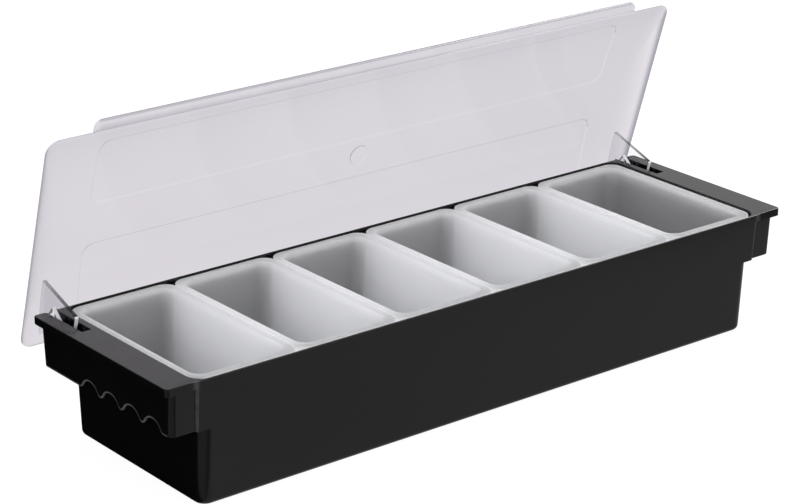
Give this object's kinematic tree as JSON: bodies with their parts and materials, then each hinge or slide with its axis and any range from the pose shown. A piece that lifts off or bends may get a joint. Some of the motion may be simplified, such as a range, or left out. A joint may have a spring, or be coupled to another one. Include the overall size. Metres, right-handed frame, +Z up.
{
  "type": "condiment caddy with hinged lid",
  "caption": "Long black bar-top condiment caddy with lift-out white pans, scalloped finger ears and a clear full-length lid on hinge arms.",
  "frame": {"origin": "centre of the tub's flat underside, on the table", "axes": "+X along the caddy towards its right ear, +Y to the hinge side at the back, +Z up; the lid is drawn open at 73 degrees from closed"},
  "size_m": [0.504, 0.1604, 0.2102],
  "materials": {
    "black_base": "black ABS, satin to gloss, fine moulded surface",
    "white_pan": "translucent white polypropylene, satin",
    "clear_lid": "clear polystyrene, polished, faint lilac-grey tint",
    "clear_arm": "clear polystyrene, polished"
  },
  "bodies": {
    "base": {"base_tray": "black_base"},
    "lid": {"lid_panel": "clear_lid", "hinge_arm_left": "clear_arm", "hinge_arm_right": "clear_arm"},
    "pan_1_body": {"pan_1": "white_pan"},
    "pan_2_body": {"pan_2": "white_pan"},
    "pan_3_body": {"pan_3": "white_pan"},
    "pan_4_body": {"pan_4": "white_pan"},
    "pan_5_body": {"pan_5": "white_pan"},
    "pan_6_body": {"pan_6": "white_pan"}
  },
  "joints": [
    {"name": "lid_hinge", "type": "hinge", "parent": "base", "child": "lid", "pos_m": [0, 0.0638, 0.0644], "axis": [-1, 0, 0], "range_deg": [-73, 25]},
    {"name": "pan_1_lift", "type": "slide", "parent": "base", "child": "pan_1_body", "axis": [0, 0, 1], "range_m": [0, 0.035]},
    {"name": "pan_2_lift", "type": "slide", "parent": "base", "child": "pan_2_body", "axis": [0, 0, 1], "range_m": [0, 0.035]},
    {"name": "pan_3_lift", "type": "slide", "parent": "base", "child": "pan_3_body", "axis": [0, 0, 1], "range_m": [0, 0.035]},
    {"name": "pan_4_lift", "type": "slide", "parent": "base", "child": "pan_4_body", "axis": [0, 0, 1], "range_m": [0, 0.035]},
    {"name": "pan_5_lift", "type": "slide", "parent": "base", "child": "pan_5_body", "axis": [0, 0, 1], "range_m": [0, 0.035]},
    {"name": "pan_6_lift", "type": "slide", "parent": "base", "child": "pan_6_body", "axis": [0, 0, 1], "range_m": [0, 0.035]}
  ]
}
